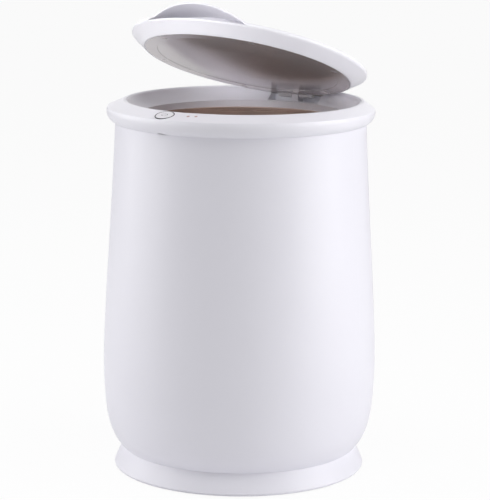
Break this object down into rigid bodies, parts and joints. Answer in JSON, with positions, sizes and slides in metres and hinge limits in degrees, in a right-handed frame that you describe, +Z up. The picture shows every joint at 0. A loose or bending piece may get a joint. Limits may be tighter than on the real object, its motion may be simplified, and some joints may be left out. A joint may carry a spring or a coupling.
{
  "type": "towel warmer bucket",
  "caption": "Barrel-shaped electric towel warmer with a flared base, a rolled collar with a push button, and a domed lid with a finger-grip hump that stands open on a friction hinge.",
  "frame": {"origin": "centre of the base, on the surface that the rubber feet stand on", "axes": "+Z up along the bucket's axis; -Y is the front, where the button is; +X is the viewer's right when facing the front"},
  "size_m": [0.3098, 0.3098, 0.5365],
  "materials": {
    "shell_white": "glossy white ABS moulding",
    "base_white": "glossy white ABS moulding",
    "collar_white": "glossy white ABS moulding",
    "lid_white": "glossy white ABS moulding",
    "hinge_white": "satin white moulding",
    "button_white": "satin white cap with an engraved sign",
    "bezel_grey": "dark plated ring",
    "lens_red": "tinted clear lens",
    "foot_rubber": "soft black rubber",
    "gland_rubber": "soft light grey rubber",
    "screw_steel": "zinc plated",
    "pin_steel": "ground steel",
    "liner_metal": "spun and anodised, warm sheen",
    "retainer_plastic": "plain moulding",
    "heater_silicone": "silicone heating sheet",
    "wrap_felt": "needled felt",
    "stand_plastic": "plain moulding",
    "thermostat_body": "phenolic body",
    "fuse_body": "ceramic tube",
    "board_green": "solder-masked board",
    "switch_black": "moulded switch",
    "plunger_tan": "phenolic plunger",
    "panel_grey": "glossy grey moulding",
    "cap_grey": "glossy grey moulding",
    "bush_nylon": "natural nylon"
  },
  "bodies": {
    "bucket": {"outer_shell": "shell_white", "base_ring": "base_white", "rubber_feet": "foot_rubber", "base_screws": "screw_steel", "collar_ring": "collar_white", "button_bezel": "bezel_grey", "indicator_lenses": "lens_red", "control_board": "board_green", "tact_switch": "switch_black", "board_screws": "screw_steel", "inner_liner": "liner_metal", "liner_retainer": "retainer_plastic", "retainer_screws": "screw_steel", "heater_band": "heater_silicone", "insulation_wrap": "wrap_felt", "liner_stand": "stand_plastic", "thermostat": "thermostat_body", "thermal_fuse": "fuse_body", "power_board": "board_green", "power_board_screws": "screw_steel", "cord_gland": "gland_rubber", "hinge_pin": "pin_steel"},
    "button": {"power_button": "button_white", "switch_plunger": "plunger_tan"},
    "lid": {"lid_shell": "lid_white", "lid_inner_panel": "panel_grey", "lid_screws": "screw_steel", "screw_caps": "cap_grey", "lid_insulation": "wrap_felt", "hinge_leaf": "hinge_white", "leaf_screws": "screw_steel", "friction_bushes": "bush_nylon"}
  },
  "joints": [
    {"name": "lid_hinge", "type": "hinge", "parent": "bucket", "child": "lid", "pos_m": [0, 0.1305, 0.415], "axis": [-1, 0, 0], "range_deg": [-21.7, 48.3]},
    {"name": "button_press", "type": "slide", "parent": "bucket", "child": "button", "axis": [0, 0.2419, -0.9703], "range_m": [0, 0.001], "stiffness_N_per_m": 2000, "springref_m": -0.0003}
  ]
}
